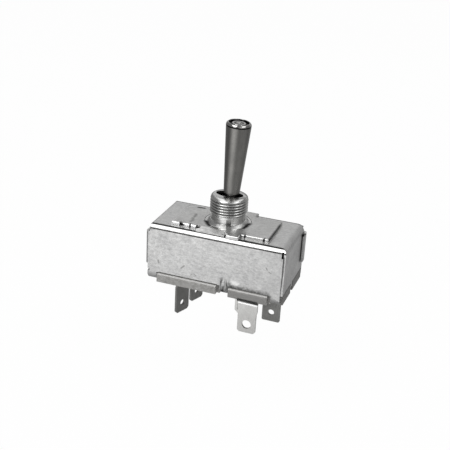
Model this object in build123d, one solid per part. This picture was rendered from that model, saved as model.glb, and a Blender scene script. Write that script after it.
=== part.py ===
"""Power take-off switch: a toggle switch in a folded steel case with four blade terminals.

Millimetres. The origin is where the bushing's axis meets the top face of the case. X runs along
the case, Y to its back, Z up along the bushing. The lever is drawn as it rests, a little to +X.
"""
import os
from math import cos, radians, sin

from build123d import *

# Folded steel case
case_length = 47.8
case_width = 23.9
sheet = 0.7
bend_outer = 1.2
flap_drop = 17.1
end_drop = 16.3
tab_drop = 19.9
crimp_drop = 18.5
crimp_angle = 35.0
corner_tab = 3.3
middle_tab = 3.1
middle_tab_x = 3.8
end_tab = 2.2
end_tab_y = -0.8
end_tab_drop = 18.0
relief = 0.7
relief_top = 0.6
relief_bottom = 3.0
seam_gap = 0.15
ear_top = 2.6
ear_bottom = 14.4
ear_length = 4.5
ear_gap = 0.2

# Pressed saddle plate round the bushing
saddle_height = 1.2
saddle_sheet = 0.6
saddle_bend = 0.45
wing_length = 33.8
wing_front_inset = 3.25
wing_back_inset = 4.45
strap_width = 15.0
strap_front_inset = 1.25
strap_back_inset = 1.15
saddle_tab_left = 3.2
saddle_tab_right = 7.4
saddle_tab_reach = 0.75
saddle_tab_slit = 0.8
slots_from_left = ((3.4, 1.2), (6.55, 0.6))
slots_from_right = ((1.5, 0.5), (8.15, 0.4))
strap_relief = 0.85
ramp_start = 8.0
ramp_edge = 0.5
saddle_hole_gap = 0.05

# Bushing, 1/2 inch mounting thread
thread_radius = 6.35
thread_bottom = 4.9
thread_top = 9.85
shank_radius = 5.7
crown_radius = 6.2
crown_height = 1.05
rim_height = 10.9
bore_radius = 4.65
bore_chamfer = 0.2
collar_radius = 7.9
collar_thickness = 1.1
foot_height = 1.3
foot_round = 0.8
foot_round_height = 0.75
skirt_radius = 5.6
skirt_depth = 4.4
stake_radius = 6.15
stake_depth = 0.5
keyway_width = 1.6
keyway_depth = 0.75
keyway_top = 3.9
keyway_turn = 20.0
hole_gap = 0.05

# Lever and its pivot
pivot_depth = 1.9
rest_tilt = 2.6
throw = 9.0
lever_tip = 37.85
tip_radius = 4.15
tip_crown = 1.0
tip_land_radius = 3.4
recess_depth = 0.6
recess_slope = 0.2
boss_radius = 2.2
boss_drop = 0.3
dimple_radius = 0.9
bat_bottom = 13.55
bat_radius = 2.7
bat_edge = 0.15
neck_radius = 2.0
ball_radius = 4.35
ball_flat = 2.0
arm_radius = 1.6
arm_length = 10.0
foot_ball_radius = 2.1
pin_radius = 0.8
pin_length = 11.0
pin_end_round = 0.2
pin_gap = 0.04

# Index plate and detents
index_thickness = 0.8
index_end_room = 4.7
index_side_room = 2.25
index_corner = 1.6
index_notch = 0.6
index_notch_depth = 0.35
detent_inset = 5.3
detent_ball_radius = 1.5
detent_gap = 0.05
detent_depth = 8.0
detent_wire = 0.35
detent_spring_radius = 1.05
detent_turns = 3.5

# Sliding contact carriage
carriage_end_room = 2.9
carriage_side_gap = 0.25
carriage_top = 2.4
carriage_saddle = 4.8
carriage_bottom = 13.6
carriage_round = 1.5
saddle_half = 8.0
slot_gap = 0.1
slot_flare = 3.1
slot_flare_depth = 9.0
slot_width = 7.0
pocket_gap = 0.2
window_length = 5.0
window_x = 11.2

# Moving contacts and their springs
bridge_thickness = 0.8
bridge_drop = 12.6
bridge_side_margin = 2.0
bridge_end_margin = 2.2
bridge_round = 1.2
dome_radius = 1.6
contact_gap = 0.12
bridge_wire = 0.5
bridge_spring_radius = 1.9
bridge_turns = 3.5
spring_pocket = 2.6
spring_seat = 9.0

# Moulded base
base_top = 15.6
base_bottom = 20.4
base_gap = 0.15
bar_top = 17.25
bar_proud = 0.9
bar_round = 0.8
bar_lower_round = 0.27
left_bar_gaps = (0.5, 1.15)
right_bar_gaps = (0.15, 1.0)
end_bar_top = 16.45
end_bar_bottom = 19.9
end_bar_proud = 0.15
end_bar_round = 0.12
end_bar_gap = 0.2
end_bar_front_inset = 0.75
end_bar_back_inset = 1.05
rail_width = 1.0
rail_gap = 0.15
rail_end_room = 1.55
crimp_clearance = 0.12
slot_clearance = 0.05

# Terminals, 1/4 inch blades
blade_width = 6.35
blade_thickness = 0.8
blade_bottom = 33.0
blade_hole = 2.2
blade_hole_up = 3.4
blade_chamfer = 0.7
end_blade_chamfer = 0.35
lug_hole = 3.2
lug_hole_up = 3.15
lug_bottom = 32.7
foot_overhang = 2.0
twist_drop = 2.4
side_front_inset = (10.9, 5.25)
side_back_inset = (12.3, 8.55)
side_twist = 20.0
side_contact_inset = 14.1
end_blade_inset = 6.25
end_blade_y = -0.2
end_contact_inset = 7.35
lug_inset = 11.48
lug_root_inset = 3.65
lug_contact_inset = 7.15
lug_proud = 0.05
lug_drop = 20.75
lug_shoulder = 24.7
lug_shoulder_width = 7.85
lug_shoulder_offset = -0.5
lug_ear = 0.95
lug_slit = 0.12
lug_bend = 1.2

# Silver contact rivets
button_radius = 1.6
button_height = 0.55
button_shank = 0.8
button_shank_gap = 0.02
button_tail = 0.4

half_length = case_length / 2
half_width = case_width / 2
inner_length = case_length - 2 * sheet
inner_width = case_width - 2 * sheet
bend_inner = bend_outer - sheet
wing_front = half_width - wing_front_inset
wing_back = half_width - wing_back_inset
strap_front = half_width - strap_front_inset
strap_back = half_width - strap_back_inset
index_length = inner_length - 2 * index_end_room
index_width = inner_width - 2 * index_side_room
carriage_length = inner_length - 2 * carriage_end_room
carriage_width = inner_width - 2 * carriage_side_gap
detent_x = carriage_length / 2 - detent_inset
base_half_length = inner_length / 2 - base_gap
base_half_width = inner_width / 2 - base_gap
side_front = (side_front_inset[0] - half_length, side_front_inset[1] - half_width)
side_back = (side_back_inset[0] - half_length, half_width - side_back_inset[1])
side_contact_x = side_contact_inset - half_length
end_blade = (half_length - end_blade_inset, end_blade_y)
end_contact_y = half_width - end_contact_inset
lug_x = half_length - lug_inset
lug_root_y = lug_root_inset - half_width
lug_front_y = -half_width - lug_proud
lug_contact_y = lug_contact_inset - half_width
foot_top = base_top - blade_thickness
carriage_rest = -arm_length * radians(rest_tilt)
TOP = (Align.CENTER, Align.CENTER, Align.MAX)
LOW = (Align.CENTER, Align.CENTER, Align.MIN)


def block(x, y, z):
    """A box given by its lowest and highest X, Y and Z."""
    size = (x[1] - x[0], y[1] - y[0], z[1] - z[0])
    return Pos(x[0], y[0], z[0]) * Box(*size, align=(Align.MIN, Align.MIN, Align.MIN))


def rod(radius, z, x=0, y=0):
    """An upright cylinder from z[0] to z[1]."""
    return Pos(x, y, z[0]) * Cylinder(radius, z[1] - z[0], align=LOW)


def revolved(points):
    """A turned piece from its half profile in radius and height, about Z."""
    return revolve(Plane.XZ * make_face(Polyline(*points, close=True)), Axis.Z)


def along_x(points, x):
    """A profile in Y and Z carried along X from x[0] to x[1]."""
    face = Plane.YZ * make_face(Polyline(*points, close=True))
    return Pos(x[0], 0, 0) * extrude(face, x[1] - x[0], dir=(1, 0, 0))


def crimped_tab(x):
    """A front tab: straight below the flap, then turned in under the base."""
    run = (tab_drop - crimp_drop) / cos(radians(crimp_angle))
    lean = run * sin(radians(crimp_angle))
    outer = -half_width
    inner = outer + sheet
    knee = sheet * sin(radians(crimp_angle))
    points = [
        (outer, -flap_drop + bend_outer),
        (outer, -crimp_drop),
        (outer + lean, -tab_drop),
        (inner + lean, -tab_drop + knee),
        (inner, -crimp_drop + knee),
        (inner, -flap_drop + bend_outer),
    ]
    return along_x(points, x)


def tab_spans():
    """Where the three tabs of the front flap lie along X."""
    middle = (middle_tab_x - middle_tab / 2, middle_tab_x + middle_tab / 2)
    left = (-half_length, -half_length + corner_tab)
    right = (half_length - sheet - corner_tab, half_length - sheet - seam_gap)
    return left, middle, right


def bar_spans():
    """Where the base's two front bars lie along X, between the tabs."""
    left, middle, right = tab_spans()
    left_bar = (left[1] + left_bar_gaps[0], middle[0] - left_bar_gaps[1])
    right_bar = (middle[1] + right_bar_gaps[0], right[0] - right_bar_gaps[1])
    return left_bar, right_bar


def end_bar_spans():
    """Where the base's two end bars lie along Y, on each side of the end tongue."""
    front_bar = (end_bar_front_inset - half_width, end_tab_y - end_tab / 2 - end_bar_gap)
    back_bar = (end_tab_y + end_tab / 2 + end_bar_gap, half_width - end_bar_back_inset)
    return front_bar, back_bar


def front_ear():
    """The strip of the front flap that wraps round the left end flap."""
    reach = sheet + ear_gap
    outer = Pos(-half_length - reach, -half_width, 0) * Box(
        reach + bend_outer, ear_length, ear_bottom - ear_top, align=(Align.MIN, Align.MIN, Align.MIN)
    )
    corner = outer.edges().filter_by(Axis.Z).sort_by(lambda edge: edge.center().X + edge.center().Y)[0]
    outer = fillet(corner, bend_outer)
    wrapped = (-half_length - ear_gap, half_length)
    inner = block(wrapped, (-half_width + sheet, half_width), (0, flap_drop))
    corner = inner.edges().filter_by(Axis.Z).sort_by(lambda edge: edge.center().X + edge.center().Y)[0]
    inner = fillet(corner, bend_inner)
    return Pos(0, 0, -ear_bottom) * (outer - inner)


def make_case():
    """One folded sheet: the top, four flaps, two ears round the corners and the crimped tabs."""
    outer = Box(case_length, case_width, flap_drop, align=TOP)
    outer = fillet(outer.edges().group_by(Axis.Z)[-1], bend_outer)
    inner = Pos(0, 0, -sheet) * Box(inner_length, inner_width, flap_drop, align=TOP)
    inner = fillet(inner.edges().group_by(Axis.Z)[-1], bend_inner)
    case = outer - inner
    case -= rod(skirt_radius + hole_gap, (-bend_outer, bend_outer))
    flap_end = half_length - sheet
    for turn in (0, 180):
        side = Rot(0, 0, turn)
        end_cut = block((flap_end, half_length), (-half_width, half_width), (-flap_drop, -end_drop))
        case -= side * end_cut
        flap_sheet = (-half_width, -half_width + sheet)
        seam = block((flap_end - seam_gap, flap_end), flap_sheet, (-flap_drop, -relief_top))
        case -= side * seam
        covered = block((-half_length, -flap_end), (-half_width + sheet, -half_width + sheet + seam_gap),
                        (-flap_drop, -relief_top))
        case -= side * covered
        notch = block((flap_end - relief, flap_end), (-half_width, -half_width + bend_outer),
                      (-relief_bottom, -relief_top))
        case -= side * notch
        notch = block((-half_length, -half_length + relief), (-half_width, -half_width + bend_outer),
                      (-ear_top, -relief_top))
        case -= side * notch
        tongue = block((flap_end, half_length), (end_tab_y - end_tab / 2, end_tab_y + end_tab / 2),
                       (-end_tab_drop, -end_drop + bend_outer))
        case += side * tongue
        for span in tab_spans():
            case += side * crimped_tab(span)
        case += side * front_ear()
    return case


def cross_outline():
    """The saddle's cross: a strap from front to back and a wing to each side."""
    wings = Pos(0, (wing_back - wing_front) / 2) * Rectangle(wing_length, wing_front + wing_back)
    strap = Pos(0, (strap_back - strap_front) / 2) * Rectangle(strap_width, strap_front + strap_back)
    tab_width = saddle_tab_right - saddle_tab_left
    tab_y = -strap_front - saddle_tab_reach / 2
    tab = Pos(saddle_tab_left + tab_width / 2, tab_y) * Rectangle(tab_width, saddle_tab_reach)
    return wings + strap + tab


def make_saddle_plate():
    """A pressed cross, its rim turned down on the case and slit, and the strap ramped down left of its tab."""
    tray = extrude(cross_outline(), saddle_height)
    tray = fillet(tray.edges().group_by(Axis.Z)[-1], saddle_bend)
    inner_outline = offset(cross_outline(), -saddle_sheet, kind=Kind.INTERSECTION)
    tray -= extrude(inner_outline, saddle_height - saddle_sheet)
    tray -= rod(collar_radius + saddle_hole_gap, (-saddle_height, 2 * saddle_height))
    front = (-wing_front - saddle_sheet, -wing_front + 2 * saddle_sheet)
    rim = (-saddle_sheet, saddle_height + saddle_sheet)
    places = [(inset - wing_length / 2, width) for inset, width in slots_from_left]
    places += [(wing_length / 2 - inset, width) for inset, width in slots_from_right]
    for x, width in places:
        tray -= block((x - width / 2, x + width / 2), front, rim)
    tab_front = (-strap_front - saddle_tab_reach, -strap_front + 1.5 * saddle_sheet)
    tray -= block((saddle_tab_left - saddle_tab_slit, saddle_tab_left), tab_front, rim)
    ramp_x = (-strap_width / 2, saddle_tab_left - saddle_tab_slit)
    tray -= block(ramp_x, (-half_width, -ramp_start), rim)
    ramp = [
        (-ramp_start, saddle_height),
        (-strap_front, ramp_edge),
        (-strap_front, 0),
        (-ramp_start, saddle_height - saddle_sheet),
    ]
    tray += along_x(ramp, ramp_x)
    for x in (-strap_width / 2, strap_width / 2):
        tray -= rod(strap_relief, rim, x, -wing_front)
    return tray


def rounded_crown(outer, inner, low, high):
    """A quarter ellipse in radius and height, from the outer radius up and in to the inner one."""
    return [
        (inner + (outer - inner) * cos(radians(a)), low + (high - low) * sin(radians(a)))
        for a in (0, 18, 36, 54, 72, 90)
    ]


def make_bushing():
    """Turned bushing: thread land, shank, coned foot and collar, and a skirt staked under the case top."""
    cone_top = collar_thickness + foot_height
    cone_radius = shank_radius + foot_round
    cone = [
        (cone_radius - foot_round * sin(radians(a)), cone_top - foot_round_height * cos(radians(a)))
        for a in (15, 40, 65, 90)
    ]
    crown = rounded_crown(crown_radius, bore_radius + bore_chamfer, rim_height - crown_height, rim_height)
    undercut = thread_radius - shank_radius
    profile = [
        (bore_radius, -skirt_depth),
        (skirt_radius, -skirt_depth),
        (skirt_radius, -sheet - stake_depth),
        (stake_radius, -sheet - stake_depth / 2),
        (stake_radius, -sheet),
        (skirt_radius, -sheet),
        (skirt_radius, 0),
        (collar_radius, 0),
        (collar_radius, collar_thickness),
        *cone,
        (shank_radius, thread_bottom - undercut),
        (thread_radius, thread_bottom),
        (thread_radius, thread_top),
        *crown,
        (bore_radius, rim_height - bore_chamfer),
    ]
    bushing = revolved(profile)
    keyway = block((-keyway_width / 2, keyway_width / 2), (-2 * collar_radius, -shank_radius + keyway_depth),
                   (collar_thickness / 2, keyway_top))
    bushing -= Rot(0, 0, keyway_turn) * keyway
    bushing -= Pos(0, 0, -pivot_depth) * Rot(90, 0, 0) * Cylinder(pin_radius + pin_gap / 2, 2 * stake_radius)
    return bushing


def make_lever():
    """Tapered bat with a recessed tip, a narrower neck, the fulcrum ball and the arm below it."""
    floor = lever_tip - recess_depth
    profile = [
        (0, 0),
        (neck_radius, 0),
        (neck_radius, bat_bottom),
        (bat_radius - bat_edge, bat_bottom),
        (bat_radius, bat_bottom + bat_edge),
        *rounded_crown(tip_radius, tip_land_radius, lever_tip - tip_crown, lever_tip),
        (tip_land_radius - recess_slope, floor),
        (boss_radius + recess_slope, floor),
        (boss_radius, lever_tip - boss_drop),
        (dimple_radius, lever_tip - boss_drop),
        (dimple_radius / 2, floor),
        (0, floor),
    ]
    ball = Sphere(ball_radius) & Box(3 * ball_radius, 3 * ball_radius, 2 * ball_flat)
    lever = revolved(profile) + ball
    lever += rod(arm_radius, (-arm_length, 0)) + Pos(0, 0, -arm_length) * Sphere(foot_ball_radius)
    lever -= Rot(90, 0, 0) * Cylinder(pin_radius + pin_gap, 4 * ball_radius)
    return Pos(0, 0, -pivot_depth) * Rot(0, rest_tilt, 0) * lever


def make_pivot_pin():
    """Straight steel pin across the skirt, with rounded ends."""
    pin = Cylinder(pin_radius, pin_length)
    pin = fillet(pin.edges().filter_by(GeomType.CIRCLE), pin_end_round)
    return Pos(0, 0, -pivot_depth) * Rot(90, 0, 0) * pin


def make_index_plate():
    """Notched plate under the case top that the two detent balls run along."""
    plate = Pos(0, 0, -sheet) * Box(index_length, index_width, index_thickness, align=TOP)
    plate = fillet(plate.edges().filter_by(Axis.Z), index_corner)
    plate -= rod(stake_radius + hole_gap, (-2 * sheet - index_thickness, 0))
    step = arm_length * radians(throw)
    underside = -sheet - index_thickness
    for side in (-1, 1):
        for place in (-step, 0, step):
            x = side * detent_x + place
            notch = block((x - index_notch, x + index_notch), (-detent_ball_radius, detent_ball_radius),
                          (underside, underside + index_notch_depth))
            plate -= notch
    return plate


def coil(radius, wire, z, turns):
    """A compression spring: round wire wound on a helix between z[0] and z[1]."""
    height = z[1] - z[0] - wire
    path = Helix(pitch=height / turns, height=height, radius=radius)
    ring = Plane(origin=path @ 0, z_dir=path % 0) * Circle(wire / 2)
    return Pos(0, 0, z[0] + wire / 2) * sweep(ring, path=path, is_frenet=True)


def detent_ball_centre():
    return -sheet - index_thickness - detent_gap - detent_ball_radius


def make_detent_ball(side):
    return Pos(side * detent_x + carriage_rest, 0, detent_ball_centre()) * Sphere(detent_ball_radius)


def make_detent_spring(side):
    top = detent_ball_centre() - detent_ball_radius * cos(radians(45))
    spring = coil(detent_spring_radius, detent_wire, (-detent_depth, top - detent_wire / 2), detent_turns)
    return Pos(side * detent_x + carriage_rest, 0, 0) * spring


def bridged_contacts(side):
    """The two fixed contacts that a bridge joins."""
    places = contact_places()
    return places[:2] if side == "left" else places[2:]


def bridge_centre(side):
    """The middle between the two contacts, in X and Y."""
    first, second = bridged_contacts(side)
    return (first[0] + second[0]) / 2, (first[1] + second[1]) / 2


def bridge_size(side):
    """A bridge's length in X and Y: the contacts' spacing and a margin past each."""
    first, second = bridged_contacts(side)
    length = abs(second[0] - first[0]) + 2 * bridge_side_margin
    width = abs(second[1] - first[1]) + 2 * bridge_end_margin
    return length, width


def make_bridge(side):
    """Copper bridge with two domed contacts coined in its underside."""
    plate = Pos(*bridge_centre(side), -bridge_drop) * Box(*bridge_size(side), bridge_thickness, align=TOP)
    plate = fillet(plate.edges().filter_by(Axis.Z), bridge_round)
    dome_bottom = -foot_top + button_height + contact_gap
    drop = -bridge_drop - bridge_thickness - dome_bottom
    ball = (dome_radius ** 2 + drop ** 2) / (2 * drop)
    cap = Sphere(ball) & Pos(0, 0, -ball + drop) * Box(4 * ball, 4 * ball, 4 * ball, align=TOP)
    for place in bridged_contacts(side):
        plate += Pos(*place, dome_bottom + ball) * cap
    return Pos(carriage_rest, 0, 0) * plate


def make_bridge_spring(side):
    x, y = bridge_centre(side)
    spring = coil(bridge_spring_radius, bridge_wire, (-bridge_drop, -spring_seat), bridge_turns)
    return Pos(x + carriage_rest, y, 0) * spring


def make_carriage():
    """Moulded slide: lever slot, pockets for the bridges and their springs, and the detent holes."""
    body = Box(carriage_length, carriage_width, carriage_bottom - carriage_top, align=TOP)
    body = Pos(0, 0, -carriage_top) * fillet(body.edges().filter_by(Axis.Z), carriage_round)
    body -= block((-saddle_half, saddle_half), (-carriage_width, carriage_width), (-carriage_saddle, 0))
    narrow = foot_ball_radius + slot_gap
    body -= block((-slot_flare, slot_flare), (-slot_width / 2, slot_width / 2), (-slot_flare_depth, 0))
    body -= block((-narrow, narrow), (-slot_width / 2, slot_width / 2), (-carriage_bottom, 0))
    for side in ("left", "right"):
        x, y = bridge_centre(side)
        length, width = bridge_size(side)
        depth = carriage_bottom - bridge_drop + pocket_gap
        pocket = Box(length + 2 * pocket_gap, width + 2 * pocket_gap, depth, align=LOW)
        body -= Pos(x, y, -carriage_bottom) * pocket
        body -= rod(spring_pocket, (-carriage_bottom, -spring_seat), x, y)
    for side in (-1, 1):
        body -= rod(detent_ball_radius + slot_gap, (-detent_depth, 0), side * detent_x, 0)
        for y in (-1, 1):
            window = Box(window_length, sheet + slot_gap, carriage_bottom - carriage_saddle)
            middle = -(carriage_bottom + carriage_saddle) / 2
            body -= Pos(side * window_x, y * carriage_width / 2, middle) * window
    return Pos(carriage_rest, 0, 0) * body


def bar(x, top, proud, depth):
    """A bar of the base along X that stands proud of the front, with a rounded upper edge."""
    middle = (depth - proud) / 2 - half_width
    section = Pos(middle, -(top + base_bottom) / 2) * Rectangle(proud + depth, base_bottom - top)
    corners = section.vertices().group_by(Axis.X)[0].sort_by(Axis.Y)
    section = fillet(corners[-1], bar_round)
    section = fillet(section.vertices().sort_by(lambda vertex: vertex.X + vertex.Y)[0], bar_lower_round)
    return Pos(x[0], 0, 0) * extrude(Plane.YZ * section, x[1] - x[0], dir=(1, 0, 0))


def end_bar(y):
    """A bar of the base across the right end."""
    shape = block((half_length - 2 * sheet, half_length + end_bar_proud), y, (-end_bar_bottom, -end_bar_top))
    outer = shape.edges().filter_by(Axis.Y).sort_by(Axis.X)[-2:]
    return fillet(outer, end_bar_round)


def crimp_pocket(x):
    """The room that a crimped tab needs under the edge of the base."""
    inner = -half_width + sheet + crimp_clearance
    lean = (base_bottom - crimp_drop) * sin(radians(crimp_angle)) / cos(radians(crimp_angle))
    start = -crimp_drop + sheet
    points = [
        (-half_width, start),
        (inner, start),
        (inner + lean + sheet / 2, -base_bottom),
        (-half_width, -base_bottom),
    ]
    return along_x(points, (x[0] - crimp_clearance, x[1] + crimp_clearance))


def make_base():
    """Moulded base: body inside the flaps, proud bars between the tabs, rails and terminal slots."""
    across = (-base_half_width, base_half_width)
    base = block((-base_half_length, base_half_length), across, (-base_bottom, -base_top))
    for turn in (0, 180):
        side = Rot(0, 0, turn)
        for span in bar_spans():
            base += side * bar(span, bar_top, bar_proud, 2 * sheet)
        for span in end_bar_spans():
            base += side * end_bar(span)
    rail_top = -carriage_bottom - rail_gap
    rail_end = base_half_length - rail_end_room
    for turn in (0, 180):
        side = Rot(0, 0, turn)
        for span in tab_spans():
            base -= side * crimp_pocket(span)
        rail_side = (-base_half_width, rail_width - base_half_width)
        rail = block((-rail_end, rail_end), rail_side, (-base_top, rail_top))
        base += side * rail
    for slot in terminal_slots():
        base -= slot
    tail_room = -base_top - button_tail - slot_clearance
    for x, y in contact_places():
        base -= rod(button_shank + slot_clearance, (tail_room, -base_top), x, y)
    return base


def terminal_slots():
    """The rectangular slots that the four terminals come through."""
    long_side = blade_width + 2 * slot_clearance
    short_side = blade_thickness + 2 * slot_clearance
    height = 3 * base_bottom
    slots = [Pos(*place, 0) * Box(short_side, long_side, height) for place in (side_front, side_back)]
    slots.append(Pos(*end_blade, 0) * Box(long_side, short_side, height))
    slots.append(Pos(lug_x, lug_root_y, 0) * Box(long_side, short_side, height))
    return slots


def contact_places():
    """Where the silver contacts stand on the terminals' feet."""
    return [
        (side_contact_x, side_front[1]),
        (side_contact_x, side_back[1]),
        (lug_x, lug_contact_y),
        (end_blade[0], end_contact_y),
    ]


def blade(top, bottom, hole, hole_up, trim):
    """A flat blade in the XZ plane with a hole near its end and two trimmed corners."""
    side = blade_width / 2
    points = [
        (-side, top),
        (side, top),
        (side, bottom + trim),
        (side - trim, bottom),
        (trim - side, bottom),
        (-side, bottom + trim),
    ]
    face = Plane.XZ * make_face(Polyline(*points, close=True))
    plate = extrude(face, blade_thickness / 2, both=True)
    punch = Rot(90, 0, 0) * Cylinder(hole / 2, 4 * blade_thickness)
    return plate - Pos(0, 0, bottom + hole_up) * punch


def foot(length, contact):
    """The terminal's foot on the base, along +Y from the blade, with the contact rivet's hole."""
    across = (-blade_width / 2, blade_width / 2)
    plate = block(across, (-blade_thickness / 2, length), (-base_top, -foot_top))
    edge = plate.edges().filter_by(Axis.X).sort_by(Axis.Y)[:2].sort_by(Axis.Z)[-1]
    plate = fillet(edge, blade_thickness / 2)
    return plate - rod(button_shank + button_shank_gap, (-base_bottom, 0), 0, contact)


def make_side_terminal(place):
    """A blade across the case, twisted below the base so that it can't pull back."""
    contact = side_contact_x - place[0]
    root = Box(blade_width, blade_thickness, base_bottom - base_top, align=LOW)
    root = Pos(0, 0, -base_bottom) * root
    start = Plane.XY.offset(-base_bottom)
    end = Plane.XY.offset(-base_bottom - twist_drop)
    middle = Plane.XY.offset(-base_bottom - twist_drop / 2)
    sections = [
        start * Rectangle(blade_width, blade_thickness),
        middle * Rot(0, 0, -side_twist / 2) * Rectangle(blade_width, blade_thickness),
        end * Rot(0, 0, -side_twist) * Rectangle(blade_width, blade_thickness),
    ]
    twist = loft(sections, ruled=True)
    tail = Rot(0, 0, -side_twist) * blade(
        -base_bottom - twist_drop, -blade_bottom, blade_hole, blade_hole_up, blade_chamfer
    )
    shape = root + twist + tail + foot(contact + foot_overhang, contact)
    return Pos(*place, 0) * Rot(0, 0, -90) * shape


def make_end_terminal():
    """A straight blade along the case near its right end."""
    contact = end_contact_y - end_blade[1]
    shape = blade(-base_top, -blade_bottom, blade_hole, blade_hole_up, end_blade_chamfer)
    shape += foot(contact + foot_overhang, contact)
    return Pos(*end_blade, 0) * shape


def nearest_corner(section, x, y):
    """The corner of a flat section that lies closest to a point."""
    return section.vertices().sort_by(lambda corner: abs(corner.X - x) + abs(corner.Y - y))[0]


def make_lug_terminal():
    """The wide lug: out of the base, forward under the bar, then down, with an unbent ear beside it."""
    contact = lug_contact_y - lug_root_y
    root = Box(blade_width, blade_thickness, lug_drop - base_top, align=TOP)
    root = Pos(0, 0, -base_top) * root
    reach = lug_front_y - lug_root_y
    inside = reach + blade_thickness
    top = -lug_drop
    below = top - blade_thickness
    under = [
        (blade_thickness / 2, top),
        (reach, top),
        (reach, -lug_shoulder),
        (inside, -lug_shoulder),
        (inside, below),
        (blade_thickness / 2, below),
    ]
    section = make_face(Polyline(*under, close=True))
    section = fillet(nearest_corner(section, reach, top), lug_bend)
    section = fillet(nearest_corner(section, inside, below), lug_bend - blade_thickness)
    left = -lug_shoulder_width / 2 + lug_shoulder_offset
    right = lug_shoulder_width / 2 + lug_shoulder_offset
    bent_left = left + lug_ear + lug_slit
    bent = Pos(bent_left, 0, 0) * extrude(Plane.YZ * section, right - bent_left, dir=(1, 0, 0))
    root += block((-blade_width / 2, right), (-blade_thickness / 2, blade_thickness / 2), (below, top))
    ear = block((left, left + lug_ear), (reach, inside), (-lug_shoulder, -base_bottom - lug_slit))
    half = blade_width / 2
    slope = [
        (left, -lug_shoulder),
        (right, -lug_shoulder),
        (half, -lug_shoulder - lug_ear),
        (-half, -lug_shoulder + half + left),
    ]
    face = Plane.XZ * make_face(Polyline(*slope, close=True))
    shoulder = Pos(0, reach, 0) * extrude(face, blade_thickness, dir=(0, 1, 0))
    tail = Pos(0, reach + blade_thickness / 2, 0) * blade(
        -lug_shoulder, -lug_bottom, lug_hole, lug_hole_up, blade_chamfer
    )
    shape = root + bent + ear + shoulder + tail + foot(contact + foot_overhang, contact)
    return Pos(lug_x, lug_root_y, 0) * shape


def make_button(x, y):
    """A silver rivet: low domed head on the terminal's foot and a shank through it."""
    head = Pos(x, y, -foot_top) * Cylinder(button_radius, button_height, align=LOW)
    head = fillet(head.edges().group_by(Axis.Z)[-1], button_height / 2)
    return head + rod(button_shank, (-base_top - button_tail, -foot_top), x, y)


def main():
    nodes = {
        "case": make_case(),
        "saddle_plate": make_saddle_plate(),
        "bushing": make_bushing(),
        "lever": make_lever(),
        "pivot_pin": make_pivot_pin(),
        "index_plate": make_index_plate(),
        "carriage": make_carriage(),
        "base": make_base(),
        "terminal_side_front": make_side_terminal(side_front),
        "terminal_side_back": make_side_terminal(side_back),
        "terminal_lug": make_lug_terminal(),
        "terminal_end": make_end_terminal(),
    }
    names = ("side_front", "side_back", "lug", "end")
    for name, place in zip(names, contact_places()):
        nodes["contact_" + name] = make_button(*place)
    for name in ("left", "right"):
        sign = -1 if name == "left" else 1
        nodes["bridge_" + name] = make_bridge(name)
        nodes["bridge_spring_" + name] = make_bridge_spring(name)
        nodes["detent_ball_" + name] = make_detent_ball(sign)
        nodes["detent_spring_" + name] = make_detent_spring(sign)
    os.makedirs("parts", exist_ok=True)
    for name, shape in nodes.items():
        export_step(shape, "parts/" + name + ".step")


main()
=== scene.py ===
from math import cos, pi, radians, sin

import bmesh
import bpy
import numpy as np
from mathutils import Matrix, Vector


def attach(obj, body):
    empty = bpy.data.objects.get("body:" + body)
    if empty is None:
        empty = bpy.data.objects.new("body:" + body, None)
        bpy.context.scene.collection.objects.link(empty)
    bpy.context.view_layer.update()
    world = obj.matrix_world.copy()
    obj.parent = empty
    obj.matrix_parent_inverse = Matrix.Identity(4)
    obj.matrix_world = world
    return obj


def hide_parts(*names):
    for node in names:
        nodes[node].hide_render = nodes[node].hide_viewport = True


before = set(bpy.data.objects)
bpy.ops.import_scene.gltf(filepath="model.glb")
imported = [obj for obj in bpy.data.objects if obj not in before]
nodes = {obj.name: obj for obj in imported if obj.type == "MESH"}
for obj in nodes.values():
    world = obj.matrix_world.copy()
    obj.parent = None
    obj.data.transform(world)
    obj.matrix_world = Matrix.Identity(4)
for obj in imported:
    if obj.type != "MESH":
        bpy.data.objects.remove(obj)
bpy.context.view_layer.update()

MM = 0.001

# Real sizes in millimetres and degrees. The bushing's axis is Z, and 0 is the case's top
bore = 4.65
skirt_radius = 5.6
skirt_bottom = -4.4
stake_radius = 6.15
stake_bottom = -1.2
stake_top = -0.7
collar_radius = 7.9
collar_top = 1.1
shank_radius = 5.7
foot_level = 2.66
foot_width = 0.65
foot_height = 0.9
thread_radius = 6.35
thread_pitch = 0.94
thread_depth = 0.5
thread_crest = 0.14
thread_bottom = 4.5
thread_top = 9.85
thread_start = 0.22
run_in = 0.5
run_out = 0.35
crown_radius = 6.2
rim = 10.9
lip = 0.9
lip_round = 0.15
lip_break = 0.04
mouth_half_width = 2.6
keyway_turn = 20.0
keyway_width = 1.6
keyway_floor = 4.95
keyway_bottom = 0.55
keyway_top = 3.9

case_half_length = 23.9
case_half_width = 11.95
sheet = 0.7
bend = 1.2
broad_bend = 2.4
ear_bottom = 14.4
ear_edge = 7.45
ear_lift = 1.5
ear_trim = 1.1

pivot_depth = 1.9
rest_tilt = 2.6
lever_tip = 37.85

# How finely the new surfaces are divided, the part of the circle in radians that is left to the keyway's own
# points, and the small gaps that keep points apart
turned_sections = 160
key_clear = 0.2
pitch_steps = 14
crown_steps = 12
bend_cuts = 5
seam_gap = 0.01
merge_gap = 0.001
cut_gap = 0.0001
sharp_from = 35

# A soft line is full within this share of its width, and a ragged one is torn by a noise of this size. The
# finishes' height patterns are this deep
line_core = 0.3
torn_size = 0.9
relief_depth = 0.05

# Colours that several marks share: two blacks of painted shade and a scuff grey
shadow_black = "#0c0c0c"
painted_shade_black = "#161615"
scuff_grey = "#a2a2a1"


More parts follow.
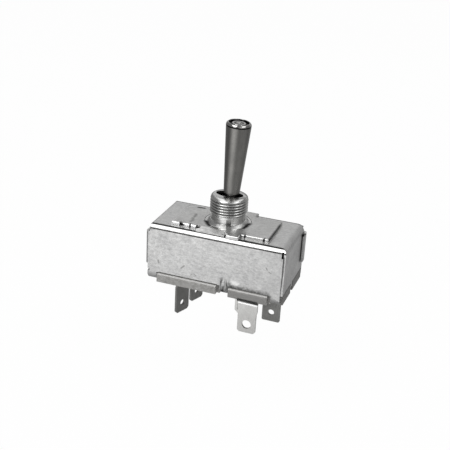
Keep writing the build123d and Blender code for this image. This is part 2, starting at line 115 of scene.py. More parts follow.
def linear(code):
    """An sRGB hex colour as a linear red, green, blue and alpha."""
    value = [int(code[i:i + 2], 16) / 255 for i in (1, 3, 5)]
    return [c / 12.92 if c <= 0.04045 else ((c + 0.055) / 1.055) ** 2.4 for c in value] + [1.0]


def node(tree, kind, inputs=None, **settings):
    """Adds one shader node. An input is a value, a socket, or a node whose first output feeds it."""
    made = tree.nodes.new(kind)
    for name, value in settings.items():
        setattr(made, name, value)
    for name, value in (inputs or {}).items():
        socket = made.inputs[name]
        if isinstance(value, bpy.types.Node):
            value = value.outputs[0]
        if isinstance(value, bpy.types.NodeSocket):
            tree.links.new(value, socket)
        else:
            socket.default_value = value
    return made


def placed(name, data):
    """A new object in the scene, at the origin."""
    made = bpy.data.objects.new(name, data)
    bpy.context.scene.collection.objects.link(made)
    return made


def mesh_object(name, points, faces):
    """A smooth mesh from an array of points in millimetres and an array of faces."""
    mesh = bpy.data.meshes.new(name)
    mesh.from_pydata((np.asarray(points) * MM).tolist(), [], [list(face) for face in faces])
    mesh.validate()
    mesh.polygons.foreach_set("use_smooth", [True] * len(mesh.polygons))
    return placed(name, mesh)


def grid_faces(rows, columns):
    """Quads between the points of a grid that is closed on itself both ways."""
    i, j = np.meshgrid(np.arange(rows), np.arange(columns), indexing="ij")
    below = (i + 1) % rows * columns
    here = i * columns
    beside = (j + 1) % columns
    return np.stack([here + j, here + beside, below + beside, below + j], -1).reshape(-1, 4)


# Camera: the place, turn and lens that were fitted to the photograph, in millimetres and degrees
camera_place = (80.43, -246.01, 114.56)
camera_turn = 18.319
camera_drop = 23.959
camera_roll = 3.338
camera_lens = 67.254
camera_sensor = 36

turn, drop, roll = (radians(angle) for angle in (camera_turn, camera_drop, camera_roll))
ahead = Vector((-sin(turn) * cos(drop), cos(turn) * cos(drop), -sin(drop)))
level = ahead.cross(Vector((0, 0, 1))).normalized()
upright = level.cross(ahead)
right = level * cos(roll) + upright * sin(roll)
up = upright * cos(roll) - level * sin(roll)
camera = placed("camera", bpy.data.cameras.new("camera"))
camera.data.lens = camera_lens
camera.data.sensor_width = camera_sensor
camera.data.clip_start = 0.01
camera.data.clip_end = 20
camera.matrix_world = Matrix((
    (right.x, up.x, -ahead.x, camera_place[0] * MM),
    (right.y, up.y, -ahead.y, camera_place[1] * MM),
    (right.z, up.z, -ahead.z, camera_place[2] * MM),
    (0, 0, 0, 1),
))
bpy.context.scene.camera = camera


def bushing_profile():
    """The turned outline in radius and height, from the skirt's lower inner edge round to the thread.

    It goes up the skirt, over the staked bead and round the collar. The foot is a shallow cone from the
    collar's edge that runs into the shank through part of a quarter ellipse. The third value says whether
    the keyway cuts the ring.
    """
    skirt = [(bore, skirt_bottom), (skirt_radius, skirt_bottom), (skirt_radius, stake_bottom),
             (stake_radius, stake_bottom + 0.25), (stake_radius, stake_top), (skirt_radius, stake_top),
             (skirt_radius, 0), (collar_radius, 0), (collar_radius, keyway_bottom)]
    keyed = [(collar_radius, keyway_bottom + seam_gap), (collar_radius, collar_top - 0.1),
             (collar_radius - 0.1, collar_top), (7.15, collar_top + 0.02), (6.85, 1.22), (6.1, 2.0)]
    for t in np.radians(np.linspace(50, 90, 5)):
        keyed.append((shank_radius + foot_width * (1 - sin(t)), foot_level - foot_height * cos(t)))
    keyed += [(shank_radius, 3.0), (shank_radius, keyway_top)]
    shank = [(shank_radius, keyway_top + seam_gap), (shank_radius, thread_bottom - 0.05)]
    return [(*point, part is keyed) for part in (skirt, keyed, shank) for point in part]


def threaded_bushing():
    """Turned bushing with its mounting thread and keyway.

    Each ring is a circle of the outline's radius. In the thread the radius is the crest less the depth times
    a trapezium wave of height over pitch less turn angle, faded in and out at the ends. The crown above it is
    a quarter ellipse in to the mouth, which is an ellipse along the lever's throw, in a lip over the round
    bore. In the keyway's rings the points near its direction lie on a flat at a fixed distance from the axis.
    """
    key = radians(keyway_turn - 90)
    half = keyway_width / 2
    flat = np.linspace(-half + 0.03, half - 0.03, 7)
    offsets = np.concatenate([[-half, -half + seam_gap], flat, [half - seam_gap, half]])
    around = np.linspace(0, 2 * pi, turned_sections, endpoint=False)
    around = around[(around > key_clear) & (around < 2 * pi - key_clear)]
    columns = len(offsets) + len(around)
    rings = []

    def ring(radius, height, keyed=False):
        radius = np.asarray(radius, float) * np.ones(columns)
        turned = np.concatenate([np.arcsin(np.clip(offsets / radius[:len(offsets)], -1, 1)), around])
        if keyed:
            inner = slice(1, len(offsets) - 1)
            radius[inner] = np.hypot(keyway_floor, offsets[inner])
            turned[inner] = np.arctan2(offsets[inner], keyway_floor)
        angle = turned + key
        height = height * np.ones(columns)
        rings.append(np.stack([radius * np.cos(angle), radius * np.sin(angle), height], -1))

    for radius, height, keyed in bushing_profile():
        ring(radius, height, keyed)
    angle = np.concatenate([np.arcsin(offsets / thread_radius), around]) + key
    for height in np.arange(thread_bottom, thread_top, thread_pitch / pitch_steps):
        phase = ((height - thread_start) / thread_pitch - angle / (2 * pi)) % 1.0
        wave = np.clip((np.abs(phase - 0.5) * 2 - thread_crest) / (1 - 2 * thread_crest), 0, 1)
        rise = np.clip((height - thread_bottom) / run_in, 0, 1)
        fall = np.clip((thread_top - height) / run_out, 0, 1)
        crest = thread_radius - (thread_radius - shank_radius) * (1 - rise)
        crest = crest - (thread_radius - crown_radius) * (1 - fall)
        ring(crest - thread_depth * wave * rise * fall, height)
    mouth = 1 / np.hypot(np.cos(angle) / bore, np.sin(angle) / mouth_half_width)
    edge = mouth + lip_round
    for t in np.radians(np.linspace(0, 90, crown_steps)):
        ring(edge + (crown_radius - edge) * cos(t), thread_top + (rim - thread_top) * sin(t))
    ring(mouth + lip_break, rim - lip_break)
    ring(mouth, rim - lip_round)
    ring(mouth, rim - lip)
    ring(bore, rim - lip - 0.02)
    ring(bore, 3.0)
    return mesh_object("threaded_bushing", np.concatenate(rings), grid_faces(len(rings), columns))


def bend_outline(angle, reach, bend_radius):
    """Distance from the broad bend's centre, at an angle from upright, to a face whose bend is the tight one.

    It meets the top at the reach over the cosine, the end at the reach over the sine, and between them the
    tight bend's circle, whose centre is as far along as across.
    """
    s, c = np.sin(angle), np.cos(angle)
    middle = broad_bend - bend
    on_top = reach / np.maximum(c, 1e-6)
    on_end = reach / np.maximum(s, 1e-6)
    half = middle * (s + c)
    on_bend = half + np.sqrt(np.maximum(half ** 2 - 2 * middle ** 2 + bend_radius ** 2, 0))
    return np.where(on_top * s <= middle, on_top, np.where(on_end * c <= middle, on_end, on_bend))


def eased_case():
    """The folded case with the broader bend that the photograph shows along its right end.

    It is a copy of the CAD mesh, merged and cut across near that edge. Round the broad bend's centre each
    point's distance is scaled from the tight bend's outline to the broad one's, and the change fades out
    towards the front corner, where the bend stays tight. The ear behind is cut a little shorter and narrower.
    """
    shape = bmesh.new()
    shape.from_mesh(nodes["case"].data)
    bmesh.ops.remove_doubles(shape, verts=shape.verts, dist=merge_gap * MM)
    steps = np.linspace(0, bend, bend_cuts)
    cuts = [((1, 0, 0), case_half_length - broad_bend + step) for step in steps]
    cuts += [((0, 0, 1), step - broad_bend) for step in steps]
    cuts += [((0, 1, 0), bend - case_half_width + step) for step in steps]
    for normal, way in cuts:
        parts = shape.verts[:] + shape.edges[:] + shape.faces[:]
        bmesh.ops.bisect_plane(shape, geom=parts, plane_co=Vector(normal) * (way * MM), plane_no=normal,
                               dist=cut_gap * MM)
    mesh = bpy.data.meshes.new("folded_case")
    shape.to_mesh(mesh)
    shape.free()
    points = np.empty(len(mesh.vertices) * 3)
    mesh.vertices.foreach_get("co", points)
    x, y, z = points.reshape(-1, 3).T / MM
    along = x - (case_half_length - broad_bend)
    above = z + broad_bend
    angle = np.arctan2(along, above)
    away = np.hypot(along, above)
    outer = bend_outline(angle, broad_bend, bend)
    inner = bend_outline(angle, broad_bend - sheet, bend - sheet)
    in_sheet = broad_bend - sheet + np.clip((away - inner) / (outer - inner), 0, 1) * sheet
    eased = np.where(away < inner, away / inner * (broad_bend - sheet), in_sheet)
    fade = np.clip((y + case_half_width - bend) / bend, 0, 1)
    fade = fade * fade * (3 - 2 * fade) * ((along > 0) & (above > 0))
    away = away + (eased - away) * fade
    x = np.where(fade > 0, case_half_length - broad_bend + away * np.sin(angle), x)
    z = np.where(fade > 0, away * np.cos(angle) - broad_bend, z)
    near = 0.1
    in_ear = (x > case_half_length - bend) & (y > ear_edge - near)
    z = z + ear_lift * (in_ear & (np.abs(z + ear_bottom) < near))
    y = y + ear_trim * (in_ear & (np.abs(y - ear_edge) < near) & (x > case_half_length + near))
    mesh.vertices.foreach_set("co", (np.stack([x, y, z], -1) * MM).ravel())
    mesh.polygons.foreach_set("use_smooth", [True] * len(mesh.polygons))
    mesh.set_sharp_from_angle(angle=radians(sharp_from))
    made = placed("folded_case", mesh)
    made.modifiers.new("even_normals", "WEIGHTED_NORMAL").keep_sharp = True
    return made


def material(name):
    """A new empty material and its node tree."""
    made = bpy.data.materials.new(name)
    made.use_nodes = True
    made.node_tree.nodes.clear()
    return made, made.node_tree


def near_line(tree, place, start, end, width, ragged=0.0):
    """A soft line: 1 on the way from start to end, falling to 0 at the width beside it, all in millimetres.

    The nearest point is the start plus the clamped share of the way. Ragged adds a noise to the distance.
    """
    start, end = Vector(start) * MM, Vector(end) * MM
    along = end - start
    offset = node(tree, "ShaderNodeVectorMath", {0: place, 1: start}, operation="SUBTRACT")
    reach = node(tree, "ShaderNodeVectorMath", {0: offset, 1: along}, operation="DOT_PRODUCT")
    share = node(tree, "ShaderNodeMath", {0: reach.outputs["Value"], 1: 1 / along.length_squared},
                 operation="MULTIPLY", use_clamp=True)
    nearest = node(tree, "ShaderNodeVectorMath", {0: along, "Scale": share}, operation="SCALE")
    away = node(tree, "ShaderNodeVectorMath", {0: offset, 1: nearest}, operation="DISTANCE").outputs["Value"]
    if ragged:
        torn = node(tree, "ShaderNodeTexNoise", {"Vector": place, "Scale": 1 / (torn_size * MM),
                                                 "Detail": 3.0})
        away = node(tree, "ShaderNodeMath", {0: torn, 1: ragged * MM, 2: away}, operation="MULTIPLY_ADD")
    soft = node(tree, "ShaderNodeMapRange", {"Value": away, "From Min": width * MM,
                                             "From Max": line_core * width * MM},
                interpolation_type="SMOOTHSTEP")
    return soft.outputs[0]


def streaks(tree, place, marks):
    """A layer for each mark of a list: its soft line, its colour and its roughness."""
    return [(near_line(tree, place, start, end, width, ragged), colour, rough)
            for start, end, width, ragged, colour, rough in marks]


def layered(tree, tone, rough, layers):
    """A finish with layers laid over it: each has its share between 0 and 1, its colour and its roughness."""
    for share, colour, polish in layers:
        tone = node(tree, "ShaderNodeMix", {0: share, 6: tone, 7: linear(colour)}, data_type="RGBA")
        tone = tone.outputs[2]
        rough = node(tree, "ShaderNodeMix", {0: share, 2: rough, 3: polish}).outputs[0]
    return tone, rough


def plated(name, light, dark, roughness, grain, blotch, stretch=(1, 1, 1), relief=0.3, marks=None):
    """Plated metal whose colour, gloss and height have a grain, blotches and broad clouding.

    The grain's and the blotches' sizes are in millimetres, and the stretch scales the pattern's space.
    """
    made, tree = material(name)
    place = node(tree, "ShaderNodeTexCoord").outputs["Object"]
    laid = node(tree, "ShaderNodeMapping", {"Vector": place, "Scale": stretch})
    fine = node(tree, "ShaderNodeTexNoise", {"Vector": laid, "Scale": 1 / (grain * MM), "Detail": 2.0})
    patch = node(tree, "ShaderNodeTexNoise", {"Vector": laid, "Scale": 1 / (blotch * MM), "Detail": 4.0})
    cloud = node(tree, "ShaderNodeTexNoise", {"Vector": place, "Scale": 1 / (5 * blotch * MM), "Detail": 2.0})
    coarse = node(tree, "ShaderNodeMath", {0: patch, 1: cloud}, operation="ADD")
    mixed = node(tree, "ShaderNodeMath", {0: fine, 1: 1.4, 2: coarse}, operation="MULTIPLY_ADD")
    share = node(tree, "ShaderNodeMapRange", {"Value": mixed, "From Min": 1.2, "From Max": 2.2})
    tone = node(tree, "ShaderNodeMix", {0: share, 6: linear(dark), 7: linear(light)}, data_type="RGBA")
    tone = tone.outputs[2]
    rough = node(tree, "ShaderNodeMapRange", {"Value": patch, "From Min": 0.3, "From Max": 0.7,
                                              "To Min": roughness + 0.06, "To Max": roughness - 0.06})
    height = node(tree, "ShaderNodeBump", {"Height": mixed, "Strength": relief,
                                           "Distance": relief_depth * MM})
    if marks:
        tone, rough = layered(tree, tone, rough, marks(tree, place))
    shader = node(tree, "ShaderNodeBsdfPrincipled", {
        "Base Color": tone, "Metallic": 1.0, "Roughness": rough, "Normal": height})
    node(tree, "ShaderNodeOutputMaterial", {"Surface": shader})
    return made


def moulding(name, light, dark, roughness, ior, marks=None):
    """Filled thermoset moulding: a mottle of about a millimetre and a fine pitted skin."""
    made, tree = material(name)
    place = node(tree, "ShaderNodeTexCoord").outputs["Object"]
    mottle = node(tree, "ShaderNodeTexNoise", {"Vector": place, "Scale": 1 / (1.2 * MM), "Detail": 5.0})
    pits = node(tree, "ShaderNodeTexNoise", {"Vector": place, "Scale": 1 / (0.25 * MM), "Detail": 2.0})
    share = node(tree, "ShaderNodeMapRange", {"Value": mottle, "From Min": 0.35, "From Max": 0.65})
    tone = node(tree, "ShaderNodeMix", {0: share, 6: linear(dark), 7: linear(light)}, data_type="RGBA")
    tone = tone.outputs[2]
    rough = node(tree, "ShaderNodeMapRange", {"Value": mottle, "From Min": 0.3, "From Max": 0.7,
                                              "To Min": roughness + 0.08, "To Max": roughness - 0.08})
    height = node(tree, "ShaderNodeBump", {"Height": pits, "Strength": 0.4, "Distance": relief_depth * MM})
    if marks:
        tone, rough = layered(tree, tone, rough, marks(tree, place))
    shader = node(tree, "ShaderNodeBsdfPrincipled", {
        "Base Color": tone, "Roughness": rough, "IOR": ior, "Normal": height})
    node(tree, "ShaderNodeOutputMaterial", {"Surface": shader})
    return made


# The lists below hold marks of wear and of painted light and shade, each with its start, end, width and
# raggedness in millimetres, its colour and its roughness. Those of the case are painted shade in the gap and
# at the corner of the back ear, a dark line behind the front bend, six small gouges and rub marks on the
# front and a darker line on the top behind the left wing, a painted highlight for a bulge and a ragged
# painted shadow over the right bar beside the crimped tab, and a painted shadow line over the left bar
CASE_WEAR_AND_PAINTED_LIGHT = [
    # Painted shade in the gap and at the corner of the back ear
    ((23.95, 8.45, -3.3), (23.95, 8.45, -12.8), 0.4, 0, shadow_black, 0.6),
    ((24.0, 8.3, -2.9), (24.6, 9.4, -2.7), 0.75, 0, shadow_black, 0.6),
    ((-24.5, -10.5, 0), (22.4, -10.5, 0), 0.85, 0, "#1c1c1b", 0.5),
    ((-11.7, -11.95, -13.8), (-10.6, -11.95, -12.7), 0.35, 0, scuff_grey, 0.45),
    ((-8.2, -11.95, -15.6), (-7.6, -11.95, -15.1), 0.22, 0, scuff_grey, 0.45),
    ((-7.0, -11.95, -15.0), (-6.2, -11.95, -15.4), 0.2, 0, scuff_grey, 0.45),
    ((17.7, -11.95, -7.2), (18.1, -11.95, -7.9), 0.25, 0, scuff_grey, 0.45),
    ((18.7, -11.95, -8.5), (19.5, -11.95, -8.9), 0.25, 0, scuff_grey, 0.45),
    ((-17.6, 9.5, 0), (-11.4, 9.1, 0), 0.3, 0, scuff_grey, 0.45),
    ((-20.1, -11.95, -12.6), (-19.8, -11.95, -13.5), 0.4, 0, scuff_grey, 0.45),
    # Painted highlight for a bulge beside the crimped tab
    ((6.9, -11.95, -15.3), (8.3, -11.95, -15.6), 1.5, 0, "#e8e8e7", 0.3),
    # Ragged painted shadow over the right bar
    ((6.0, -11.95, -17.1), (18.6, -11.95, -17.8), 3.6, 2.6, "#5e5e5d", 0.5),
    # Painted shadow line over the left bar
    ((-19.6, -11.95, -17.15), (1.3, -11.95, -17.15), 0.3, 0, "#4a4a49", 0.5),
]

# Painted shadow and dark reflection on the bushing's collar and on the saddle beside it
COLLAR_PAINTED_SHADE = [
    ((-6.6, -3.4, 1.1), (-4.4, -6.5, 1.1), 1.8, 1.0, "#161616", 0.6),
    ((7.3, 0.8, 1.1), (6.7, -3.3, 1.1), 1.8, 1.0, "#161616", 0.6),
]

# The saddle's left wing: painted highlights along its edges, a dark line near its back and a soft grey
# streak, a painted highlight along the rim and painted dark reflections on it. Then the right wing: painted
# shade in its slots and the painted shade of its end
WING_PAINTED_LIGHT_AND_MARKS = [
    # Painted highlights along the left wing's edges
    ((-16.6, -8.3, 1.2), (-16.6, 4.9, 1.2), 0.36, 0.25, "#f0f0ef", 0.4),
    ((-16.6, 4.9, 1.2), (-13.6, 7.2, 1.2), 0.32, 0.2, "#f0f0ef", 0.4),
    ((-13.6, 7.2, 1.2), (-7.6, 7.2, 1.2), 0.32, 0.2, "#f0f0ef", 0.4),
    ((-13.0, 6.2, 1.2), (-11.0, 6.5, 1.2), 1.0, 0.3, "#2a2a29", 0.4),
    ((-11.6, 0.4, 1.2), (-10.9, -6.0, 1.2), 2.0, 2.2, "#868685", 0.4),
    # Painted highlight along the left wing's rim, then painted dark reflections on it
    ((-16.5, -8.8, 0.8), (-7.8, -8.8, 0.8), 1.0, 0.3, "#ffffff", 0.4),
    ((-13.9, -8.5, 1.2), (-12.6, -8.8, 0.6), 0.8, 0.3, shadow_black, 0.4),
    ((-10.5, -8.5, 1.2), (-10.1, -8.7, 0.6), 0.5, 0.2, shadow_black, 0.4),
    # Painted shade in the right wing's slots, then the painted shade of its end
    ((7.3, -8.7, 0.9), (7.1, -8.7, 0.2), 0.8, 0.2, shadow_black, 0.4),
    ((9.0, -8.7, 1.0), (9.0, -8.7, 0.7), 0.5, 0.1, shadow_black, 0.4),
    ((15.3, -8.7, 1.0), (15.3, -8.7, 0.5), 0.7, 0.2, shadow_black, 0.4),
    ((16.9, -8.2, 0.7), (16.9, 4.9, 0.7), 1.0, 0.3, "#3c3c3b", 0.4),
]

# The lug: painted shade in the gap over its bend, and a painted highlight along the outside of the bend
LUG_PAINTED_LIGHT = [
    ((9.0, -12, -21.0), (15.7, -12, -21.15), 0.6, 0, painted_shade_black, 0.6),
    ((9.3, -12, -21.7), (15.6, -12, -21.95), 0.42, 0, "#ffffff", 0.2),
]

# The front bars: the right one's face darker and duller, and painted highlights along the upper edges
BAR_TONES_AND_HIGHLIGHTS = [
    ((6.5, -12.8, -19.2), (18.5, -12.8, -19.2), 2.4, 0, "#8b8a88", 0.5),
    ((-19.4, -12.5, -17.4), (1.0, -12.5, -17.4), 0.4, 0, "#bfbebc", 0.4),
    ((5.6, -12.5, -17.4), (18.8, -12.5, -17.4), 0.4, 0, "#bfbebc", 0.4),
]

# The shade on the right bar over the lug
LUG_SHADE = [
    ((9.2, -12.85, -20.35), (15.5, -12.85, -20.35), 0.8, 0, "#141413", 0.7),
]


def painted_bend_highlights(tree, place):
    """The bends along the front and back with a painted highlight, and a darker line where each bend begins
    and ends.

    The distance from the middle plus the height is the same where both lines run, and more between them.
    """
    start = case_half_width - bend
    half_line = 0.2
    axes = node(tree, "ShaderNodeSeparateXYZ", {0: place})
    side = node(tree, "ShaderNodeMath", {0: axes.outputs["Y"]}, operation="ABSOLUTE")
    over = node(tree, "ShaderNodeMath", {0: side, 1: axes.outputs["Z"]}, operation="ADD")
    line = node(tree, "ShaderNodeMath", {0: over, 1: start * MM, 2: half_line * MM}, operation="COMPARE")
    # The painted highlight over each bend
    bright = node(tree, "ShaderNodeMapRange", {"Value": over, "From Min": (start + half_line) * MM,
                                               "From Max": (start + half_line + 0.06) * MM},
                  interpolation_type="SMOOTHSTEP")
    return [(line, "#4a4a49", 0.4), (bright, "#f4f4f3", 0.16)]


def case_marks_and_painted_light(tree, place):
    """Painted highlights on the bends, the small marks with the painted light and shade among them, and
    painted shade for the crimping punch's upright grooves on the middle tab.
    """
    layers = painted_bend_highlights(tree, place) + streaks(tree, place, CASE_WEAR_AND_PAINTED_LIGHT)
    # The punch's grooves on the middle tab as dark upright lines: painted shade
    lined = node(tree, "ShaderNodeMapping", {"Vector": place, "Scale": (1, 1, 0.12)})
    lined = node(tree, "ShaderNodeTexNoise", {"Vector": lined, "Scale": 1 / (0.5 * MM), "Detail": 2.0})
    lined = node(tree, "ShaderNodeMapRange", {"Value": lined, "From Min": 0.42, "From Max": 0.56})
    punched = near_line(tree, place, (3.8, -11.95, -16.0), (3.8, -11.6, -19.6), 3.2, 0.8)
    punched = node(tree, "ShaderNodeMath", {0: lined, 1: punched}, operation="MULTIPLY")
    return layers + [(punched, "#4c4c4b", 0.5)]


def saddle_marks_and_painted_light(tree, place):
    """The painted highlights, painted shade and other marks on the wings, and the painted shade round the
    collar.
    """
    return streaks(tree, place, WING_PAINTED_LIGHT_AND_MARKS + COLLAR_PAINTED_SHADE)


def thread_shade_and_oil(tree, place):
    """Dark thread roots, partly oil and partly painted shade, and the painted shade on the collar.

    The roots are where the distance from the axis is less than the crest's, between the thread's two ends.
    """
    flat = node(tree, "ShaderNodeVectorMath", {0: place, 1: (1, 1, 0)}, operation="MULTIPLY")
    radius = node(tree, "ShaderNodeVectorMath", {0: flat}, operation="LENGTH").outputs["Value"]
    height = node(tree, "ShaderNodeSeparateXYZ", {0: place}).outputs["Z"]
    share = node(tree, "ShaderNodeMapRange", {"Value": radius, "From Min": 6.2 * MM, "From Max": 5.85 * MM})
    for start, full in ((4.4, 5.0), (9.9, 9.6)):
        within = node(tree, "ShaderNodeMapRange", {"Value": height, "From Min": start * MM,
                                                   "From Max": full * MM})
        share = node(tree, "ShaderNodeMath", {0: share, 1: within}, operation="MULTIPLY")
    # Thread roots darkened by oil and painted shade, then the collar's painted shade
    return [(share, "#80807f", 0.3)] + streaks(tree, place, COLLAR_PAINTED_SHADE)


def polished_tip_and_shade(tree, place):
    """The bat's tip, polished by hands, with painted shade in its ring-shaped recess and a painted shade line
    below its edge.

    The station is the distance along the leaning axis from the pivot, and the radius the distance beside it.
    """
    lean = radians(rest_tilt)
    axis = Vector((sin(lean), 0, cos(lean)))
    pivot = (0, 0, -pivot_depth * MM)
    offset = node(tree, "ShaderNodeVectorMath", {0: place, 1: pivot}, operation="SUBTRACT")
    station = node(tree, "ShaderNodeVectorMath", {0: offset, 1: axis}, operation="DOT_PRODUCT")
    station = station.outputs["Value"]
    along = node(tree, "ShaderNodeVectorMath", {0: axis, "Scale": station}, operation="SCALE")
    radius = node(tree, "ShaderNodeVectorMath", {0: offset, 1: along}, operation="DISTANCE").outputs["Value"]
    end = lever_tip * MM
    tip = node(tree, "ShaderNodeMapRange", {"Value": station, "From Min": end - 1.2 * MM,
                                            "From Max": end - MM})
    # Painted shade in the recess: its groove and the ring round its centre
    groove = node(tree, "ShaderNodeMath", {0: radius, 1: 2.8 * MM, 2: 0.55 * MM}, operation="COMPARE")
    centre = node(tree, "ShaderNodeMath", {0: radius, 1: 1.35 * MM, 2: 0.3 * MM}, operation="COMPARE")
    recess_shade = node(tree, "ShaderNodeMath", {0: groove, 1: centre}, operation="MAXIMUM")
    recess_shade = node(tree, "ShaderNodeMath", {0: recess_shade, 1: tip}, operation="MULTIPLY")
    # A painted shade line below the tip's edge
    edge = node(tree, "ShaderNodeMath", {0: station, 1: end - 0.95 * MM, 2: 0.22 * MM}, operation="COMPARE")
    return [(tip, "#a4a3a1", 0.12), (recess_shade, painted_shade_black, 0.3), (edge, painted_shade_black, 0.3)]


def lug_bend_light(tree, place):
    """The lug's painted bend highlight and the painted shade in the gap over it."""
    return streaks(tree, place, LUG_PAINTED_LIGHT)


def lit_bars(tree, place):
    """The front bars' tones and painted highlights, painted shade on the end bars, and the painted shade over
    the lug.
    """
    across = node(tree, "ShaderNodeSeparateXYZ", {0: place}).outputs["X"]
    # Painted shade on the end bars along the right end
    ends = node(tree, "ShaderNodeMapRange", {"Value": across, "From Min": 23.0 * MM, "From Max": 23.4 * MM})
    return streaks(tree, place, BAR_TONES_AND_HIGHLIGHTS) + [(ends, "#6a6967", 0.5)] + streaks(tree, place, LUG_SHADE)


# Bright zinc plate on pressed steel: pale and cloudy, with the rolled sheet's grain, painted highlights on
# its bends and painted light and shade among its marks.
# Its grain is drawn at 0.4 mm, coarser than the real one, so that it shows
zinc_case = plated("zinc_plated_pressed_steel_case", "#dcdcdb", "#bababa", 0.42, 0.4, 1.0,
                   stretch=(0.6, 1, 1), relief=0.6, marks=case_marks_and_painted_light)
# The same plate on the saddle, a little smoother where the press squeezed it, with painted highlights and
# shade on its wings and painted shade round the collar
zinc_saddle = plated("zinc_plated_pressed_steel_saddle", "#d8d8d7", "#b4b4b3", 0.36, 0.4, 1.2,
                     stretch=(0.6, 1, 1), relief=0.6, marks=saddle_marks_and_painted_light)
# Bright zinc plate on a turned piece: shinier, with rings round its axis, thread roots darkened by oil and
# painted shade, and painted shade on the collar
zinc_turned = plated("zinc_plated_turned_steel", "#dcdcdb", "#b2b2b1", 0.2, 0.3, 1.2,
                     stretch=(1, 1, 6), relief=0.15, marks=thread_shade_and_oil)
# Dull nickel plate on a turned bat: darker and satin, with a faint grain along it and a polished tip with
# painted shade in its recess and below its edge
nickel_turned = plated("dull_nickel_turned_steel", "#83827f", "#757472", 0.3, 0.3, 1.5,
                       stretch=(1, 1, 0.3), relief=0.1, marks=polished_tip_and_shade)
# Tin plate on rolled brass strip: a pale soft sheen, with lengthwise rolling lines, a painted highlight on
# the lug's bend and painted shade over it
tin_strip = plated("tin_plated_rolled_brass", "#e4e4e2", "#cecdcb", 0.36, 0.4, 1.4,
                   stretch=(1.5, 1.5, 0.7), relief=0.2, marks=lug_bend_light)
# Tin plate on the blanked blades, darker than the lug's: grey, the rolling lines stronger
darker_strip = plated("darker_tin_on_blanked_brass", "#a3a3a1", "#868684", 0.38, 0.35, 1.2, stretch=(4, 4, 0.6))
# Ground and drawn steel, bare: inner plate, pin, balls and spring wire, grey and evenly shiny
steel_plain = plated("drawn_steel_bare", "#a9a8a6", "#8e8d8b", 0.3, 0.3, 1.0, relief=0.15)
# Coined copper: warm, slightly dull
copper_coined = plated("coined_copper", "#c98a66", "#a86f50", 0.32, 0.3, 1.0, relief=0.15)
# Fine silver rivets: very pale
silver_headed = plated("cold_headed_silver", "#e4e2dc", "#cfcdc6", 0.25, 0.3, 1.0, relief=0.1)
# Mineral-filled phenolic, compression moulded: grey and matt, with painted highlights on the front bars'
# upper edges and painted shade on the end bars and over the lug
phenolic_grey = moulding("grey_phenolic_moulded", "#a8a7a5", "#93928f", 0.42, 1.6, lit_bars)
# Black phenolic slide: dark and matt
phenolic_black = moulding("black_phenolic_moulded", "#2a2826", "#1f1d1c", 0.45, 1.6)

# The finish of each node, by the start of its name; the first that fits holds
FINISHES = {
    "case": zinc_case,
    "saddle_plate": zinc_saddle,
    "lever": nickel_turned,
    "index_plate": steel_plain,
    "pivot_pin": steel_plain,
    "carriage": phenolic_black,
    "base": phenolic_grey,
    "bushing": zinc_turned,
    "terminal_lug": tin_strip,
    "terminal": darker_strip,
    "contact": silver_headed,
    "bridge_spring": steel_plain,
    "bridge": copper_coined,
    "detent": steel_plain,
}
for name, made in nodes.items():
    made.data.materials.clear()
    made.data.materials.append(next(FINISHES[start] for start in FINISHES if name.startswith(start)))

bushing = threaded_bushing()
bushing.data.set_sharp_from_angle(angle=radians(sharp_from))
bushing.data.materials.append(zinc_turned)
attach(bushing, "housing")
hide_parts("bushing")

case = eased_case()
case.data.materials.append(zinc_case)
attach(case, "housing")
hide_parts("case")


def lamp(name, place, size, radiance):
    """A soft box: an area lamp at a place in millimetres, turned to the origin, with its radiance."""
    data = bpy.data.lights.new(name, "AREA")
    data.shape = "RECTANGLE"
    data.size, data.size_y = size[0] * MM, size[1] * MM
    data.energy = radiance * pi * data.size * data.size_y
    made = placed(name, data)
    made.location = Vector(place) * MM
    made.rotation_mode = "QUATERNION"
    made.rotation_quaternion = (-made.location).to_track_quat("-Z", "Y")
    made.visible_camera = False


# Two soft boxes above the front and a broad one behind, where the photograph's reflections show them
lamp("soft_box_left", (-182, -292, 491), (340, 340), 3.4)
lamp("soft_box_right", (342, -60, 480), (260, 260), 2.8)
lamp("soft_box_back", (-170, 540, 250), (520, 260), 0.45)


def pool(tree, place, centre, across, lift, over):
    """A soft round patch of light on top of others: its lift, smoothed down to nothing at its half width."""
    away = node(tree, "ShaderNodeVectorMath", {0: place, 1: [c * MM for c in centre]}, operation="DISTANCE")
    away = away.outputs["Value"]
    patch = node(tree, "ShaderNodeMapRange", {"Value": away, "From Min": across * MM, "From Max": 0.0,
                                              "To Max": lift}, interpolation_type="SMOOTHSTEP")
    return node(tree, "ShaderNodeMath", {0: patch, 1: over}, operation="ADD")


def sight(tree):
    """What says whether a ray is glossy, and whether it comes from the camera or through glass."""
    rays = node(tree, "ShaderNodeLightPath").outputs
    seen = node(tree, "ShaderNodeMath", {0: rays["Is Camera Ray"], 1: rays["Is Transmission Ray"]},
                operation="MAXIMUM")
    return rays["Is Glossy Ray"], seen


# Pale paper sweep. The camera sees it white with a trace of the shadow, and metal sees painted pools of light
# on it, a glow that only reflections show, each with its centre, half width and lift
floor_height = -60
floor_half = 3000
corners = [(-floor_half, -floor_half), (floor_half, -floor_half), (floor_half, floor_half),
           (-floor_half, floor_half)]
floor = mesh_object("floor", [(x, y, floor_height) for x, y in corners], [(0, 1, 2, 3)])
floor_paper, tree = material("white_paper_sweep")
glossy, seen = sight(tree)
place = node(tree, "ShaderNodeTexCoord").outputs["Object"]
pools = 0.3
for x, y, across, lift in ((-50, -155, 170, 1.18), (-115, -330, 260, 1.1), (125, -95, 105, 0.5),
                           (200, 0, 120, 0.5), (60, 160, 200, 0.2)):
    pools = pool(tree, place, (x, y, floor_height), across, lift, pools)
paper = node(tree, "ShaderNodeBsdfDiffuse", {"Color": linear("#f4f4f4")})
white = node(tree, "ShaderNodeEmission", {"Color": linear("#ffffff"), "Strength": 1.0})
shaded = node(tree, "ShaderNodeMixShader", {0: 0.03, 1: white, 2: paper})
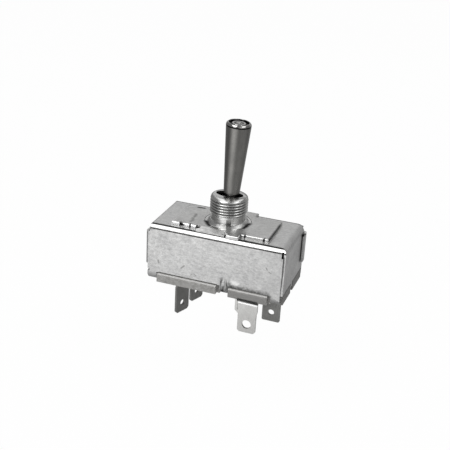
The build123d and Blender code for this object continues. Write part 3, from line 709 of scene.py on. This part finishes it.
# The painted pools of light, a glow seen only in reflections
lit = node(tree, "ShaderNodeEmission", {"Color": linear("#ffffff"), "Strength": pools})
mirrored = node(tree, "ShaderNodeMixShader", {0: glossy, 1: paper, 2: lit})
shown = node(tree, "ShaderNodeMixShader", {0: seen, 1: mirrored, 2: shaded})
node(tree, "ShaderNodeOutputMaterial", {"Surface": shown})
floor.data.materials.append(floor_paper)

# Room: plain soft light, white to the camera. Metal sees a pale canopy overhead from front to back, which
# ends behind and above the horizon, and pale walls at the front right and high behind
world = bpy.data.worlds.new("studio")
world.use_nodes = True
tree = world.node_tree
tree.nodes.clear()
glossy, seen = sight(tree)
direction = node(tree, "ShaderNodeTexCoord").outputs["Generated"]
towards = node(tree, "ShaderNodeSeparateXYZ", {0: direction})
beside = node(tree, "ShaderNodeMath", {0: towards.outputs["X"], 1: 0.28}, operation="ADD")
beside = node(tree, "ShaderNodeMath", {0: beside}, operation="ABSOLUTE")
canopy = 1.0
for value, start, full in ((beside, 0.28, 0.12), (towards.outputs["Y"], 0.7, 0.55),
                           (towards.outputs["Z"], 0.1, 0.3)):
    part = node(tree, "ShaderNodeMapRange", {"Value": value, "From Min": start, "From Max": full},
                interpolation_type="SMOOTHSTEP")
    canopy = node(tree, "ShaderNodeMath", {0: canopy, 1: part}, operation="MULTIPLY")
# The walls' directions and half widths are in thousandths
walls = 0.27
for centre, across, lift in (((720, -550, 420), 700, 0.9), ((200, 400, 890), 420, 1.6),
                             ((420, 870, 240), 480, 0.34)):
    walls = pool(tree, direction, centre, across, lift, walls)
mirrored = node(tree, "ShaderNodeMath", {0: canopy, 1: 1.3, 2: walls}, operation="MULTIPLY_ADD")
room = node(tree, "ShaderNodeMix", {0: glossy, 2: 0.5, 3: mirrored})
strength = node(tree, "ShaderNodeMix", {0: seen, 2: room, 3: 1.0})
sky = node(tree, "ShaderNodeBackground", {"Color": linear("#ffffff"), "Strength": strength})
node(tree, "ShaderNodeOutputWorld", {"Surface": sky})
bpy.context.scene.world = world
bpy.context.scene.view_settings.view_transform = "Standard"
